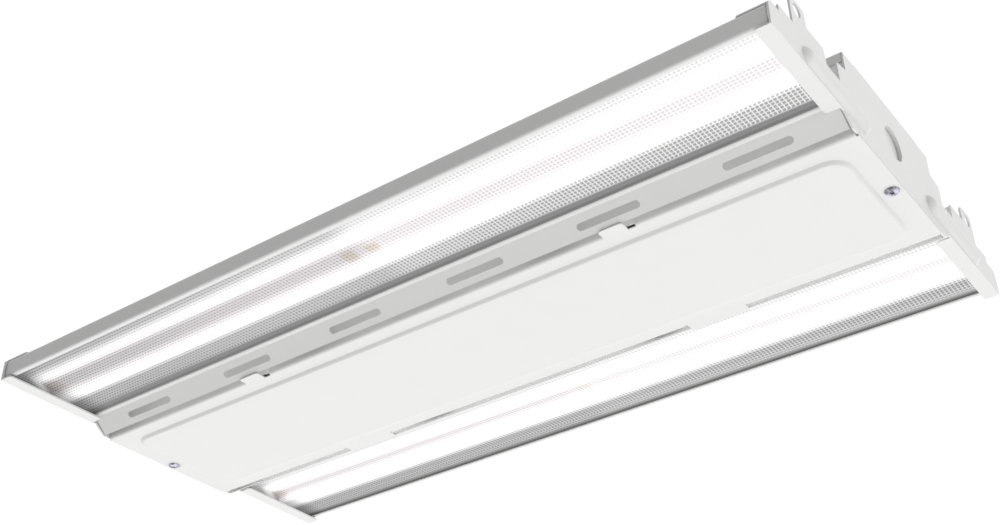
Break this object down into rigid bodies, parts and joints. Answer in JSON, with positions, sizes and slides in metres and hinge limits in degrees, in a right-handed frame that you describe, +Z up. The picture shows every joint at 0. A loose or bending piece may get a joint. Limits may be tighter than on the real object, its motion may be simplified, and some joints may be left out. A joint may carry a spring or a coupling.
{
  "type": "high bay light",
  "caption": "Linear LED high bay light: folded-sheet driver channel between LED wings with prismatic lenses, end plates with hanging rings.",
  "frame": {"origin": "under the middle of the light, in the plane of the cover's embossed panel", "axes": "+X along the light towards its right end plate, +Y across it towards the back wing, +Z up towards the lid"},
  "size_m": [0.618, 0.321, 0.0625],
  "materials": {
    "white_powder_coat": "satin white powder coat on sheet steel",
    "prismatic_acrylic": "clear prismatic acrylic",
    "circuit_board": "white solder mask on an aluminium board",
    "led_package": "phosphor-filled LED packages",
    "tan_connector": "tan moulded nylon",
    "zinc_steel": "bright zinc plate",
    "zinc_sheet": "galvanised sheet",
    "driver_case": "plain coated driver case",
    "orange_polymer": "orange moulded connector",
    "black_polymer": "black potted case",
    "black_rubber": "black bushing",
    "lead_jacket": "insulated lead",
    "black_jacket": "insulated lead",
    "green_steel": "green ground screw"
  },
  "bodies": {
    "root": {"board_connectors_back": "tan_connector", "board_connectors_front": "tan_connector", "channel_cover": "white_powder_coat", "channel_lid": "white_powder_coat", "channel_wall_back": "white_powder_coat", "channel_wall_front": "white_powder_coat", "cover_screw_left": "zinc_steel", "cover_screw_right": "zinc_steel", "driver_screws": "zinc_steel", "end_plate_left": "white_powder_coat", "end_plate_right": "white_powder_coat", "ground_screw": "green_steel", "lead_sleeve_back": "black_rubber", "lead_sleeve_front": "black_rubber", "led_board_back_left": "circuit_board", "led_board_back_right": "circuit_board", "led_board_front_left": "circuit_board", "led_board_front_right": "circuit_board", "led_chips_back_left": "led_package", "led_chips_back_right": "led_package", "led_chips_front_left": "led_package", "led_chips_front_right": "led_package", "led_driver": "driver_case", "lens_back": "prismatic_acrylic", "lens_front": "prismatic_acrylic", "supply_leads": "black_jacket", "surge_leads": "black_jacket", "surge_protector": "black_polymer", "terminal_block": "orange_polymer", "wing_housing_back": "white_powder_coat", "wing_housing_front": "white_powder_coat", "wing_lead_back": "lead_jacket", "wing_lead_front": "lead_jacket", "wing_ties_back": "zinc_sheet", "wing_ties_front": "zinc_sheet"}
  },
  "joints": []
}
